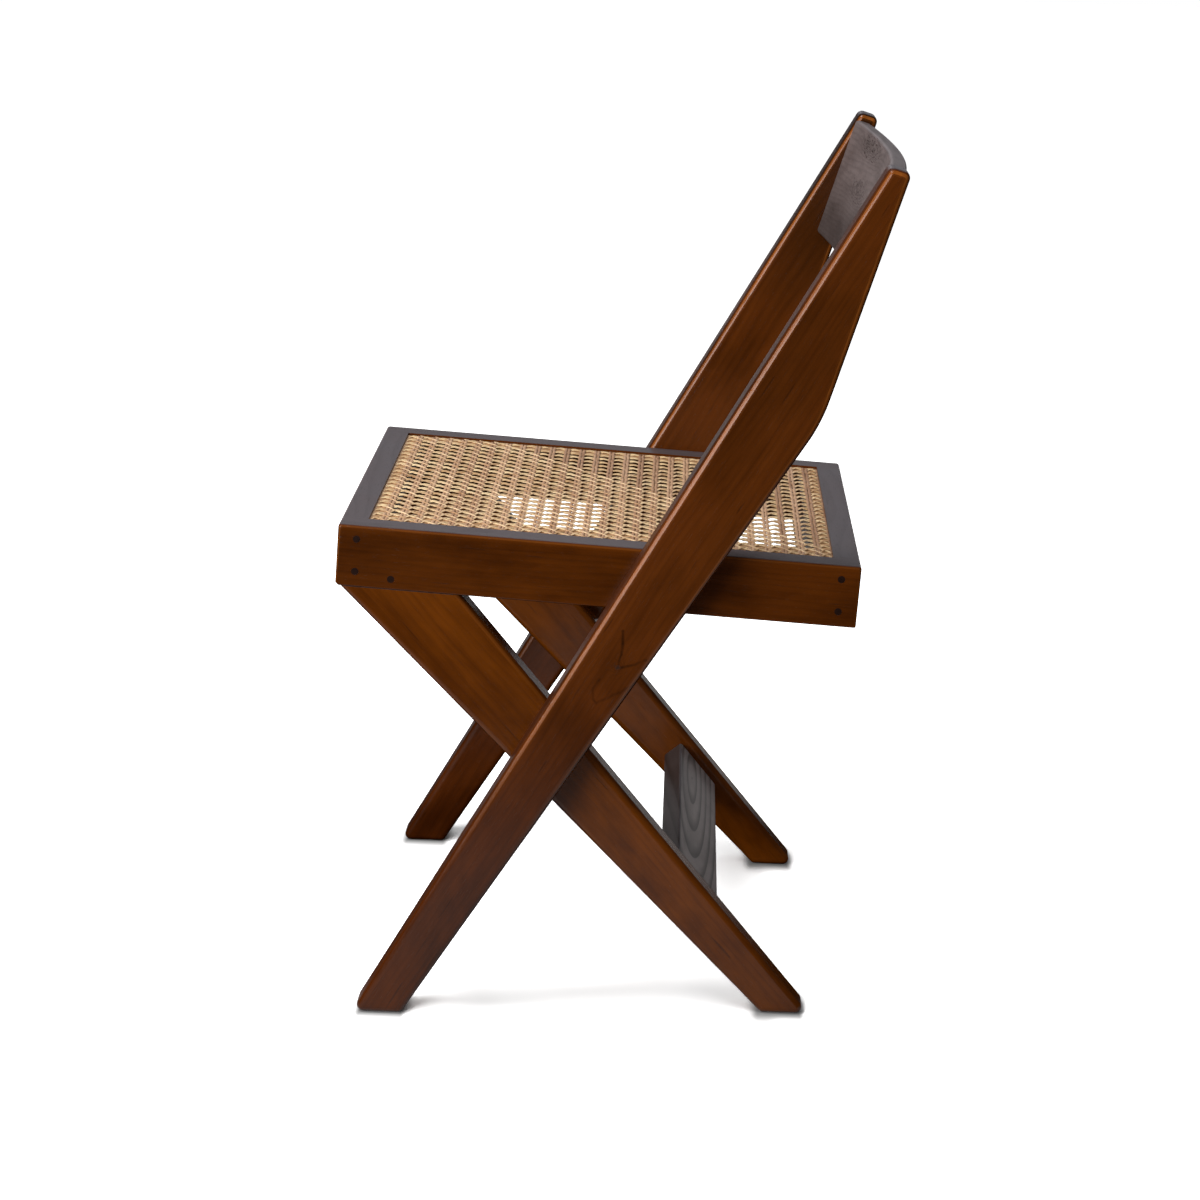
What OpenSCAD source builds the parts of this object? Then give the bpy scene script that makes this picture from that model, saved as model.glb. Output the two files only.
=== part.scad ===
// Library chair: a fixed X-frame side chair in stained hardwood with a woven cane seat.
// Sizes are in millimetres. The sitter faces -Y, +X is the sitter's left, and the feet stand on z = 0.
// Side outlines are drawn in y and z, with y counted backwards from the front top corner of the seat frame.

/* [Overall] */
// Width over the outer faces of the long legs
chair_w = 470; // [400:1:560]
// Height of the top front corner of the long legs
chair_h = 781; // [740:1:860]

/* [Seat frame] */
// Height of the seat frame's top at its front end
seat_front_h = 450; // [420:1:480]
// Length of the side rails
seat_l = 461; // [430:1:500]
// Tilt of the seat, down towards the back, in degrees
seat_tilt = 2.75; // [1:0.25:5]
// Height of the four rails
rail_h = 56; // [50:1:66]
// Thickness of the side rails and of the short legs
rail_t = 30; // [26:1:38]
// Thickness of the front and rear rails, whose ledges carry the close border of the weave
end_rail_t = 44; // [34:1:48]
// Width of a side rail's top that stays above the cane
side_lip = 26; // [16:1:26]
// Width of a front or rear rail's top that stays above the cane
end_lip = 24; // [16:1:25]
// Radius of the rails' upper outer arrises
rail_top_r = 3; // [1:0.5:4]
// Radius of the rails' other outer arrises
rail_low_r = 1.5; // [0.5:0.5:3]

/* [Cane panel] */
// Depth of the cane's top below the top of the frame
cane_recess = 1; // [0.5:0.5:3]
// Thickness of the woven cane
cane_t = 2.5; // [2:0.5:4]
// Gap between the cane and the wall of its rebate
cane_gap = 0.3; // [0.2:0.1:1]
// Width of the close border of the weave, inside the rebate's inner edge
cane_border = 8; // [5:1:20]
// Gaps of the weave from front to back
cane_cols = 16; // [8:1:18]
// Gaps of the weave from side to side
cane_rows = 14; // [8:1:16]
// Width of the strands between two gaps
cane_strand = 7; // [4:0.5:9]
// Cut across each corner of a gap, where the slanting strands pass
cane_corner = 4.5; // [2:0.5:6]

/* [Long legs] */
// Thickness of the long legs
leg_t = 33; // [26:1:42]
// Setback of the long leg's front edge at the floor from the front of the seat
long_foot_y = 17.5; // [0:0.5:40]
// Lean of the long leg's straight front edge from upright, in degrees
long_lean = 29.7; // [27:0.1:32]
// Length of the long leg's foot on the floor
long_foot_w = 45; // [34:0.5:52]
// Height of the knee in the long leg's rear edge
knee_h = 561; // [530:1:600]
// Level width of the long leg at the knee
knee_w = 79.5; // [70:0.5:90]
// Radius that softens the knee
knee_r = 150; // [40:5:200]
// Width of the long leg's square-cut top
post_top_w = 19; // [19:0.5:26]

/* [Short legs] */
// Distance of the short leg's rear corner on the floor from the front of the seat
short_foot_y = 435; // [400:0.5:460]
// Length of the short leg's foot on the floor
short_foot_w = 44.5; // [32:0.5:50]
// Length of the short leg's top along the underside of the side rail
short_top_w = 111; // [95:1:125]
// Height above the rail's lower front corner at which the short leg's front edge would leave the rail
toe_rise = 3; // [1:0.5:6]
// Radius of the arrises and corners of all four legs
leg_r = 6; // [3:0.5:8]

/* [Backrest board] */
// Thickness of the board
board_t = 16; // [12:0.5:17]
// Height of the board, along its slope
board_h = 117; // [90:1:150]
// Drop of the board's top below the tops of the long legs, along the slope
board_drop = 8; // [2:0.5:20]
// Depth of the board's front face at its ends, in front of the legs' rear edge
board_set = 20.5; // [17.5:0.5:22]
// Bow of the board backwards at its middle
board_bow = 18; // [6:0.5:24]
// Radius of the board's long arrises
board_r = 3.5; // [1:0.5:5]

/* [Leg stretcher] */
// Width of the stretcher, along the short legs
stretcher_w = 58.5; // [40:0.5:70]
// Thickness of the stretcher
stretcher_t = 22.5; // [18:0.5:28]
// Distance of the stretcher's lower edge from the floor, along the short leg's rear edge
stretcher_rise = 122; // [90:1:150]
// Setback of the stretcher's rear face from the short leg's rear edge
stretcher_inset = 10.5; // [6:0.5:14]
// Radius of the stretcher's long arrises
stretcher_r = 2; // [0.5:0.5:4]

/* [Pegs, tenons and dowels] */
// Diameter of the pegs that show
peg_d = 6.5; // [5:0.5:8]
// Distance of the corner pegs from the ends of the side rails
peg_end = 17; // [12:0.5:19]
// Depth of the upper corner pegs below the top of the rail
peg_high = 12.5; // [10:0.5:18]
// Depth of the lower corner pegs below the top of the rail
peg_low = 42; // [34:0.5:44]
// Depth that a corner peg reaches into the end of a front or rear rail
peg_reach = 25; // [15:1:40]
// Thickness of the short leg's tenon
tenon_t = 10; // [8:0.5:12]
// Length of the tenon along the rail
tenon_w = 40; // [28:1:48]
// Height of the tenon
tenon_h = 26; // [18:1:34]
// Distance of the tenon's front from the front end of the rail
tenon_front = 29; // [26:1:34]
// Height of the tenon peg above the underside of the rail
tenon_peg_h = 9.5; // [8:0.5:12]
// Diameter of the hidden dowels in the legs
dowel_d = 10; // [6:1:12]
// Depth of a leg dowel into each of the two pieces
dowel_depth = 15; // [10:1:22]
// Distance between the two dowels of a leg joint
dowel_step = 28; // [20:1:34]
// Diameter of the hidden dowels in the ends of the board and the stretcher
pin_d = 6; // [4:1:8]
// Depth of an end dowel into each of the two pieces
pin_depth = 18; // [10:1:22]
// Gap all round a peg or dowel in its hole
dowel_gap = 0.05; // [0.02:0.01:0.1]

/* [Hidden] */

// Facets of turned surfaces and of the balls that round the arrises, from pole to equator, and of a corner
$fn = 24;
ball_rings = 6;
corner_steps = 5;
// Overlap that lets a cut pass cleanly through a face
through = 1;

// Planes across the chair, from the middle outwards
face_x = chair_w / 2 - leg_t;
inner_x = face_x - rail_t;
lip_x = face_x - side_lip;

// Key points of the side outline, as [y, z]
function front_edge_y(z) = long_foot_y + z * tan(long_lean);
long_toe = [long_foot_y, 0];
long_heel = [long_foot_y + long_foot_w, 0];
knee = [front_edge_y(knee_h) + knee_w, knee_h];
post_front = [front_edge_y(chair_h), chair_h];
// The leg's top is cut square to its upper rear edge, so the edge's lean follows from the knee and the top
knee_to_top = norm(post_front - knee);
back_lean = atan2(post_front[0] - knee[0], post_front[1] - knee[1]) + asin(post_top_w / knee_to_top);
post_rear = post_front + post_top_w * [cos(back_lean), -sin(back_lean)];

// A point of the seat frame, from its distance back and its height over the frame's top
function seat_point(back, up) =
    [back * cos(seat_tilt) + up * sin(seat_tilt), seat_front_h - back * sin(seat_tilt) + up * cos(seat_tilt)];
short_heel = [short_foot_y, 0];
short_toe = [short_foot_y - short_foot_w, 0];
short_front_top = seat_point(0, toe_rise - rail_h);
short_rear_top = seat_point(short_top_w, -rail_h);
short_rear_lean = atan2(short_heel[0] - short_rear_top[0], short_rear_top[1]);
// The short leg's blank runs on past the rail's underside, where it is cut off
short_over = 1.15;
short_blank_front = short_toe + short_over * (short_front_top - short_toe);
short_blank_rear = short_heel + short_over * (short_rear_top - short_heel);

// Middle of the chair from front to back, which becomes y = 0
board_back = board_t + board_bow - board_set;
y_front = seat_point(rail_low_r, rail_low_r - rail_h)[0] - rail_low_r;
y_back = post_rear[0] + (board_back - board_r) * cos(back_lean) - (board_drop + board_r) * sin(back_lean) + board_r;
y_mid = (y_front + y_back) / 2;

// Where two lines meet, each given by two points
function cross2(a, b) = a[0] * b[1] - a[1] * b[0];
function meet(a, b, c, d) = a + (b - a) * cross2(c - a, d - c) / cross2(b - a, d - c);
long_axis_low = (long_toe + long_heel) / 2;
long_axis_high = [front_edge_y(knee_h) + knee_w / 2, knee_h];
short_axis_low = (short_toe + short_heel) / 2;
short_axis_high = (short_front_top + short_rear_top) / 2;
leg_crossing = meet(long_axis_low, long_axis_high, short_axis_low, short_axis_high);
rail_crossing = meet(long_axis_low, long_axis_high, seat_point(0, -rail_h / 2), seat_point(seat_l, -rail_h / 2));
long_axis_dir = (long_axis_high - long_axis_low) / norm(long_axis_high - long_axis_low);

// Inward unit normal of an outline's edge, for an outline that runs anticlockwise
function inward(a, b) = let (d = (b - a) / norm(b - a)) [-d[1], d[0]];

// An outline moved inwards by r
function inset(pts, r) = [
    for (i = [0:len(pts) - 1])
        let (
            before = pts[(i + len(pts) - 1) % len(pts)],
            after = pts[(i + 1) % len(pts)],
            n1 = inward(before, pts[i]),
            n2 = inward(pts[i], after)
        )
        pts[i] + (n1 + n2) * r / (1 + n1 * n2)
];

// Points of the arc of radius r that softens the corner b between a and c
function soft_corner(a, b, c, r, steps) =
    let (
        n1 = inward(a, b),
        n2 = inward(b, c),
        centre = b + (n1 + n2) * r / (1 + n1 * n2),
        from = atan2(-n1[1], -n1[0]),
        turn = (atan2(-n2[1], -n2[0]) - from + 540) % 360 - 180
    )
    [for (k = [0:steps]) centre + r * [cos(from + turn * k / steps), sin(from + turn * k / steps)]];

// A closed outline with every corner softened by its own radius
function soft_outline(pts, radii) = [
    for (i = [0:len(pts) - 1])
        each soft_corner(
            pts[(i + len(pts) - 1) % len(pts)], pts[i], pts[(i + 1) % len(pts)], radii[i], corner_steps
        )
];

// Outlines of the legs, from the front corner of the sole
long_outline = concat(
    [long_toe, long_heel],
    soft_corner(long_heel, knee, post_rear, knee_r, corner_steps),
    [post_rear, post_front]
);
short_outline = [short_toe, short_heel, short_blank_rear, short_blank_front];

// The sitter's left side as drawn, or its mirror twin
module on_side(side) {
    mirror([side < 0 ? 1 : 0, 0, 0]) children();
}

// The whole chair moved so that its box is centred on the origin
module placed() {
    translate([0, -y_mid, 0]) children();
}

// The seat frame's own axes: y runs back along the frame, z = 0 is its top
module seat_axes() {
    translate([0, 0, seat_front_h]) rotate([-seat_tilt, 0, 0]) children();
}

// The backrest's own axes: z runs up the legs' rear edge, y square to it, from the rear top corner of the legs
module back_axes() {
    translate([0, post_rear[0], post_rear[1]]) rotate([-back_lean, 0, 0]) children();
}

// The stretcher's own axes: z runs up the short legs' rear edge from the floor, y square to it
module stretcher_axes() {
    translate([0, short_heel[0], short_heel[1]]) rotate([short_rear_lean, 0, 0]) children();
}

// An outline in y and z, run across the chair from x1 to x2
module across(x1, x2) {
    translate([x1, 0, 0]) rotate([90, 0, 90]) linear_extrude(height = x2 - x1) children();
}

// A ball whose poles lie across the chair, so that flat faces laid on balls keep their true places
module ball(r) {
    step = 90 / ball_rings;
    rotate([0, 90, 0]) rotate_extrude()
        polygon([for (k = [-ball_rings:ball_rings]) r * [cos(step * k), sin(step * k)]]);
}

// A leg of the given outline between x1 and x2, with all of its arrises rounded
module soft_leg(outline, x1, x2) {
    hull()
        for (centre = inset(outline, leg_r), x = [x1 + leg_r, x2 - leg_r])
            translate([x, centre[0], centre[1]]) ball(leg_r);
}

// A round rod across the chair, centred on y and z, with an optional gap all round
module rod(x1, x2, d, at, gap = 0) {
    translate([x1, at[0], at[1]]) rotate([0, 90, 0]) cylinder(h = x2 - x1, d = d + 2 * gap);
}

// The two dowels of a leg joint, set along the long leg on both sides of the given point
module joint_dowels(at, gap = 0) {
    for (s = [-1, 1])
        rod(face_x - dowel_depth - gap, face_x + dowel_depth + gap, dowel_d,
            at + s * dowel_step / 2 * long_axis_dir, gap);
}

// The pegs of one corner of the seat frame, in the frame's axes, back being their distance from the front end
module corner_pegs(back, gap = 0) {
    for (down = [peg_high, peg_low])
        rod(inner_x - peg_reach - gap, face_x, peg_d, [back, -down], gap);
}

// The peg through the short leg's tenon, in the frame's axes
module tenon_peg(gap = 0) {
    rod(face_x - (rail_t + tenon_t) / 2 - peg_d / 2 - gap, face_x, peg_d,
        [tenon_front + tenon_w / 2, tenon_peg_h - rail_h], gap);
}

// The dowels in one end of the backrest board, in the backrest's axes
module board_dowels(gap = 0) {
    for (share = [0.25, 0.75])
        rod(face_x - pin_depth - gap, face_x + pin_depth + gap, pin_d,
            [board_t / 2 - board_set, -board_drop - share * board_h], gap);
}

// The dowels in one end of the stretcher, in the stretcher's axes
module stretcher_dowels(gap = 0) {
    for (share = [0.25, 0.75])
        rod(inner_x - pin_depth - gap, inner_x + pin_depth + gap, pin_d,
            [-stretcher_inset - stretcher_t / 2, stretcher_rise + share * stretcher_w], gap);
}

module long_leg() {
    color("#4e2c14") difference() {
        soft_leg(long_outline, face_x, face_x + leg_t);
        joint_dowels(rail_crossing, dowel_gap);
        joint_dowels(leg_crossing, dowel_gap);
        back_axes() board_dowels(dowel_gap);
    }
}

// The short leg's tenon, or with a gap the mortise for it, in the frame's axes
module tenon(gap = 0) {
    translate([face_x - (rail_t + tenon_t) / 2 - gap, tenon_front - gap, -rail_h - through])
        cube([tenon_t + 2 * gap, tenon_w + 2 * gap, through + tenon_h + gap]);
}

module short_leg() {
    blank_l = 2 * seat_l;
    color("#52301a") difference() {
        union() {
            difference() {
                soft_leg(short_outline, inner_x, face_x);
                seat_axes() translate([inner_x - through, -blank_l / 2, -rail_h])
                    cube([rail_t + 2 * through, blank_l, blank_l]);
            }
            seat_axes() tenon();
        }
        seat_axes() tenon_peg(dowel_gap);
        joint_dowels(leg_crossing, dowel_gap);
        stretcher_axes() stretcher_dowels(dowel_gap);
    }
}

// The blank of a side rail: rounded arrises outside, and corners that run square into the inner face
module side_rail_blank() {
    hull()
        for (end = [0, 1], top = [0, 1]) {
            r = top == 1 ? rail_top_r : rail_low_r;
            y = end == 1 ? seat_l - r : r;
            z = top == 1 ? -r : r - rail_h;
            translate([face_x - r, y, z]) ball(r);
            rod(inner_x, inner_x + r, 2 * r, [y, z]);
        }
}

// What the line of the short leg's front edge cuts off the lower front corner of a side rail
module toe_cut() {
    across(inner_x - through, face_x + through)
        polygon([short_blank_front, short_toe, short_toe - [seat_l, 0], short_blank_front - [seat_l, 0]]);
}

module side_rail() {
    color("#42220c") difference() {
        seat_axes() difference() {
            side_rail_blank();
            translate([inner_x - through, end_lip, -cane_recess - cane_t])
                cube([lip_x - inner_x + through, seat_l - 2 * end_lip, cane_recess + cane_t + through]);
            tenon(dowel_gap);
            tenon_peg(dowel_gap);
            corner_pegs(peg_end, dowel_gap);
            corner_pegs(seat_l - peg_end, dowel_gap);
        }
        joint_dowels(rail_crossing, dowel_gap);
        toe_cut();
    }
}

// Section of a front or rear rail, with its outer face at 0, its top at 0 and the rebate for the cane
module end_rail_section() {
    ledge = -cane_recess - cane_t;
    polygon(concat(
        soft_corner([0, 0], [0, -rail_h], [end_rail_t, -rail_h], rail_low_r, corner_steps),
        soft_corner([0, -rail_h], [end_rail_t, -rail_h], [end_rail_t, ledge], rail_low_r, corner_steps),
        [[end_rail_t, ledge], [end_lip, ledge], [end_lip, 0]],
        soft_corner([end_lip, 0], [0, 0], [0, -rail_h], rail_top_r, corner_steps)
    ));
}

module end_rail(back) {
    color("#42220c") seat_axes() difference() {
        translate([0, back, 0]) mirror([0, back > 0 ? 1 : 0, 0]) across(-inner_x, inner_x) end_rail_section();
        for (side = [-1, 1])
            on_side(side) corner_pegs(back > 0 ? back - peg_end : peg_end, dowel_gap);
    }
}

module front_rail() {
    end_rail(0);
}

module rear_rail() {
    end_rail(seat_l);
}

module backrest_board() {
    half = face_x;
    radius = (half * half + board_bow * board_bow) / (2 * board_bow);
    swing = 2 * asin(half / radius) + 4;
    color("#5a3a26") back_axes() difference() {
        intersection() {
            translate([0, board_bow - board_set - radius, -board_drop - board_h])
                rotate([0, 0, 90 - swing / 2]) rotate_extrude(angle = swing, $fn = 200)
                    polygon(soft_outline(
                        [[radius, 0], [radius + board_t, 0], [radius + board_t, board_h], [radius, board_h]],
                        [board_r, board_r, board_r, board_r]
                    ));
            translate([-half, -chair_w, -chair_h]) cube([2 * half, 2 * chair_w, 2 * chair_h]);
        }
        for (side = [-1, 1])
            on_side(side) board_dowels(dowel_gap);
    }
}

module leg_stretcher() {
    near = -stretcher_inset;
    far = -stretcher_inset - stretcher_t;
    low = stretcher_rise;
    high = stretcher_rise + stretcher_w;
    color("#5a3a26") stretcher_axes() difference() {
        across(-inner_x, inner_x)
            polygon(soft_outline(
                [[far, low], [near, low], [near, high], [far, high]],
                [stretcher_r, stretcher_r, stretcher_r, stretcher_r]
            ));
        for (side = [-1, 1])
            on_side(side) stretcher_dowels(dowel_gap);
    }
}

// One gap of the weave, an oblong with cut corners
module cane_hole(w, l) {
    cut = cane_corner;
    polygon([
        [cut, 0], [w - cut, 0], [w, cut], [w, l - cut],
        [w - cut, l], [cut, l], [0, l - cut], [0, cut]
    ]);
}

// The woven cane as a flat net that lies on the ledge of the rebate
module cane_panel() {
    half_w = lip_x - cane_gap;
    front = end_lip + cane_gap;
    back = seat_l - end_lip - cane_gap;
    net_half = inner_x - cane_border;
    net_front = end_rail_t + cane_border;
    pitch_x = 2 * net_half / cane_rows;
    pitch_y = (seat_l - 2 * net_front) / cane_cols;
    color("#c8a57d") seat_axes() translate([0, 0, -cane_recess - cane_t]) linear_extrude(height = cane_t)
        difference() {
            translate([-half_w, front]) square([2 * half_w, back - front]);
            for (i = [0:cane_rows - 1], j = [0:cane_cols - 1])
                translate([-net_half + i * pitch_x + cane_strand / 2, net_front + j * pitch_y + cane_strand / 2])
                    cane_hole(pitch_x - cane_strand, pitch_y - cane_strand);
        }
}

module peg_wood() {
    color("#24120a") children();
}

module dowel_wood() {
    color("#b98a55") children();
}

module left_long_leg() {
    placed() on_side(1) long_leg();
}

module right_long_leg() {
    placed() on_side(-1) long_leg();
}

module left_short_leg() {
    placed() on_side(1) short_leg();
}

module right_short_leg() {
    placed() on_side(-1) short_leg();
}

module left_side_rail() {
    placed() on_side(1) side_rail();
}

module right_side_rail() {
    placed() on_side(-1) side_rail();
}

module front_pegs(side) {
    placed() on_side(side) seat_axes() peg_wood() corner_pegs(peg_end);
}

module rear_pegs(side) {
    placed() on_side(side) seat_axes() peg_wood() corner_pegs(seat_l - peg_end);
}

module tenon_pegs(side) {
    placed() on_side(side) seat_axes() peg_wood() tenon_peg();
}

module rail_dowels(side) {
    placed() on_side(side) dowel_wood() joint_dowels(rail_crossing);
}

module crossing_dowels(side) {
    placed() on_side(side) dowel_wood() joint_dowels(leg_crossing);
}

module end_board_dowels(side) {
    placed() on_side(side) back_axes() dowel_wood() board_dowels();
}

module end_stretcher_dowels(side) {
    placed() on_side(side) stretcher_axes() dowel_wood() stretcher_dowels();
}

left_long_leg();
right_long_leg();
left_short_leg();
right_short_leg();
left_side_rail();
right_side_rail();
placed() front_rail();
placed() rear_rail();
placed() backrest_board();
placed() leg_stretcher();
placed() cane_panel();
front_pegs(1);  // left_front_pegs
front_pegs(-1);  // right_front_pegs
rear_pegs(1);  // left_rear_pegs
rear_pegs(-1);  // right_rear_pegs
tenon_pegs(1);  // left_tenon_peg
tenon_pegs(-1);  // right_tenon_peg
rail_dowels(1);  // left_rail_dowels
rail_dowels(-1);  // right_rail_dowels
crossing_dowels(1);  // left_crossing_dowels
crossing_dowels(-1);  // right_crossing_dowels
end_board_dowels(1);  // left_board_dowels
end_board_dowels(-1);  // right_board_dowels
end_stretcher_dowels(1);  // left_stretcher_dowels
end_stretcher_dowels(-1);  // right_stretcher_dowels
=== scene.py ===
"""Looks of the library chair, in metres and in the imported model's frame.

The wooden pieces are the model's own solids with a stained wood finish. The flat net of the seat is
replaced by a woven cane seat. The studio holds the floor, the lights and the camera.
"""

import logging
import math
from dataclasses import dataclass, field
from enum import Enum
from typing import Any, Mapping, Sequence

import bmesh
import bpy
from mathutils import Matrix, Vector


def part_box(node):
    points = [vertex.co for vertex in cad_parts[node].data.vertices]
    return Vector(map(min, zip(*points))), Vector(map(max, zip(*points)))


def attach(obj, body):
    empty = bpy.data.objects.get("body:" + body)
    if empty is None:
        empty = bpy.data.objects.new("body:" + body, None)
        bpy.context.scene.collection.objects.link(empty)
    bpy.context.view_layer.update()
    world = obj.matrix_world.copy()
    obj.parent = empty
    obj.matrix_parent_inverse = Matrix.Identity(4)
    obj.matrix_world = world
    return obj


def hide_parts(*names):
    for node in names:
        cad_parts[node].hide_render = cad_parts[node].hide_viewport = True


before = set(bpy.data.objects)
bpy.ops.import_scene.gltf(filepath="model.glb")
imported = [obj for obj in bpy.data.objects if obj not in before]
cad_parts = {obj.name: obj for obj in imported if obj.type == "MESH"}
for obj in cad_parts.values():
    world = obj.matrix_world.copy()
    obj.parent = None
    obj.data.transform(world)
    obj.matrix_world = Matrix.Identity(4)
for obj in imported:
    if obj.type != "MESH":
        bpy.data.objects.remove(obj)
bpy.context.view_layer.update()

log = logging.getLogger("library_chair")

BODY = "root"
MM = 0.001
SEAT_TILT = math.radians(2.75)
LACQUER_IOR = 1.45
RELIEF = 0.2 * MM

Colour = tuple[float, float, float]
Place = tuple[float, float, float]
Span = tuple[float, float]


def linear(red: int, green: int, blue: int) -> Colour:
    """Turns a colour of 0 to 255 steps, as a screen shows it, into the linear values of a shader."""
    steps = (red / 255, green / 255, blue / 255)
    return tuple(s / 12.92 if s <= 0.04045 else ((s + 0.055) / 1.055) ** 2.4 for s in steps)


class Sock:
    """A node's output, for use in Python expressions that add Math nodes."""

    def __init__(self, graph: "Graph", link: bpy.types.NodeSocket) -> None:
        """Keeps the graph that new nodes go into and the output socket that this stands for."""
        self.graph = graph
        self.link = link

    def math(self, operation: str, *others: "Sock | float") -> "Sock":
        """Adds a Math node with this as its first value and returns its result."""
        return self.graph.node("ShaderNodeMath", {"operation": operation}, dict(enumerate((self, *others))))

    def __add__(self, other: "Sock | float") -> "Sock":
        """This plus the other."""
        return self.math("ADD", other)

    def __sub__(self, other: "Sock | float") -> "Sock":
        """This less the other."""
        return self.math("SUBTRACT", other)

    def __rsub__(self, other: float) -> "Sock":
        """A number less this."""
        return self.graph.node("ShaderNodeMath", {"operation": "SUBTRACT"}, {0: other, 1: self})

    def __mul__(self, other: "Sock | float") -> "Sock":
        """This times the other."""
        return self.math("MULTIPLY", other)

    def __truediv__(self, other: "Sock | float") -> "Sock":
        """This divided by the other."""
        return self.math("DIVIDE", other)

    __radd__ = __add__
    __rmul__ = __mul__

    def ramp(self, low: float, high: float) -> "Sock":
        """Rises smoothly between two values.

        Args:
            low: The value up to which the result is 0.
            high: The value from which it is 1.

        Returns:
            The result, from 0 to 1.
        """
        return self.graph.node(
            "ShaderNodeMapRange", {"interpolation_type": "SMOOTHSTEP"},
            {0: self, 1: low, 2: high, 3: 0.0, 4: 1.0},
        )


class Graph:
    """A shader or geometry node tree that is built in code."""

    def __init__(self, tree: bpy.types.NodeTree) -> None:
        """Starts from an empty tree."""
        self.tree = tree
        tree.nodes.clear()

    def node(
        self, kind: str, settings: Mapping[str, Any] | None = None, inputs: Mapping[Any, Any] | None = None,
        output: int | str = 0,
    ) -> Sock:
        """Adds one node.

        Args:
            kind: The node's type.
            settings: The node's own properties, set before its sockets.
            inputs: A value or a Sock for each socket, by name or number.
            output: The output that is returned.

        Returns:
            The chosen output, or the first one.
        """
        new = self.tree.nodes.new(kind)
        for name, value in (settings or {}).items():
            setattr(new, name, value)
        for name, value in (inputs or {}).items():
            socket = new.inputs[name]
            if isinstance(value, Sock):
                self.tree.links.new(value.link, socket)
            else:
                socket.default_value = value
        return Sock(self, new.outputs[output]) if len(new.outputs) else Sock(self, None)

    def split(self, vector: Sock) -> tuple[Sock, Sock, Sock]:
        """The three parts of a vector."""
        first = self.node("ShaderNodeSeparateXYZ", inputs={0: vector})
        return tuple(Sock(self, output) for output in first.link.node.outputs)

    def join(self, x: Sock | float, y: Sock | float, z: Sock | float) -> Sock:
        """A vector from its three parts."""
        return self.node("ShaderNodeCombineXYZ", inputs={0: x, 1: y, 2: z})

    def blend(
        self, factor: Sock | float, first: Sock | Colour | float, second: Sock | Colour | float,
    ) -> Sock:
        """Mixes two colours.

        Args:
            factor: 0 for the first colour, 1 for the second.
            first: The first colour, or the level of a grey.
            second: The second colour, or the level of a grey.

        Returns:
            The mixed colour.
        """
        colours = [(c, c, c) if isinstance(c, float) else c for c in (first, second)]
        colours = [c if isinstance(c, Sock) else (*c, 1.0) for c in colours]
        return self.node(
            "ShaderNodeMix", {"data_type": "RGBA", "blend_type": "MIX", "clamp_factor": True},
            {0: factor, 6: colours[0], 7: colours[1]}, output=2,
        )

    def vector(self, operation: str, *parts: Sock | Place, scale: Sock | float | None = None) -> Sock:
        """Adds a Vector Math node.

        Args:
            operation: The Vector Math node's operation.
            parts: The vectors, in order.
            scale: The factor of a scaled vector.

        Returns:
            The vector, or the number of an operation that gives one.
        """
        inputs = dict(enumerate(parts))
        if scale is not None:
            inputs["Scale"] = scale
        output = 1 if operation in ("DOT_PRODUCT", "DISTANCE", "LENGTH") else 0
        return self.node("ShaderNodeVectorMath", {"operation": operation}, inputs, output)

    def share(self, place: Sock, start: Place, end: Place) -> Sock:
        """Finds how far along the way from one point to another a place lies.

        Args:
            place: The place.
            start: The point at which the share is 0.
            end: The point at which the share is 1.

        Returns:
            The share, below 0 before the start and over 1 past the end.
        """
        run = Vector(end) - Vector(start)
        gone = self.vector("SUBTRACT", place, start)
        return self.vector("DOT_PRODUCT", gone, tuple(run)) / run.length_squared

    def to_line(self, place: Sock, start: Place, end: Place) -> Sock:
        """The distance of a place from the straight line between two points.

        Args:
            place: The place.
            start: The line's start.
            end: The line's end.

        Returns:
            The distance.
        """
        held = self.share(place, start, end).math("MAXIMUM", 0.0).math("MINIMUM", 1.0)
        way = self.vector("SCALE", tuple(Vector(end) - Vector(start)), scale=held)
        return self.vector("DISTANCE", place, self.vector("ADD", way, start))

    def noise(self, vector: Sock, scale: float, detail: float = 2.0, distortion: float = 0.0) -> Sock:
        """Adds a noise texture.

        Args:
            vector: The place in the pattern.
            scale: How many times finer the pattern is.
            detail: How many finer layers are added.
            distortion: How far the pattern is stirred.

        Returns:
            The noise, from 0 to 1.
        """
        return self.node(
            "ShaderNodeTexNoise", {"noise_dimensions": "3D"},
            {"Vector": vector, "Scale": scale, "Detail": detail, "Distortion": distortion},
        )

    def coat(self, colour: Sock, rough: Sock, height: Sock, strength: float, gloss: float) -> None:
        """Ends a material with its surface.

        Args:
            colour: The base colour.
            rough: The roughness.
            height: The height of the fine relief.
            strength: How strongly that relief shows, from 0 to 1.
            gloss: The strength of the mirroring, from 0 to 1.
        """
        bump = self.node(
            "ShaderNodeBump", inputs={"Strength": strength, "Distance": RELIEF, "Height": height})
        shader = self.node("ShaderNodeBsdfPrincipled", inputs={
            "Base Color": colour, "Roughness": rough, "Normal": bump,
            "IOR": LACQUER_IOR, "Specular IOR Level": gloss})
        self.node("ShaderNodeOutputMaterial", inputs={"Surface": shader})


def new_material(name: str) -> tuple[bpy.types.Material, Graph, Sock]:
    """Starts a material.

    Args:
        name: The material's name.

    Returns:
        The material, its empty graph and the place in the row frame.
    """
    made = bpy.data.materials.new(name)
    made.use_nodes = True
    g = Graph(made.node_tree)
    return made, g, g.node("ShaderNodeTexCoord", output="Object")


def new_object(name: str, data: bpy.types.ID) -> bpy.types.Object:
    """Puts new data into the scene.

    Args:
        name: The object's name.
        data: Its mesh, light or camera.

    Returns:
        The object.
    """
    made = bpy.data.objects.new(name, data)
    bpy.context.scene.collection.objects.link(made)
    return made


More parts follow.
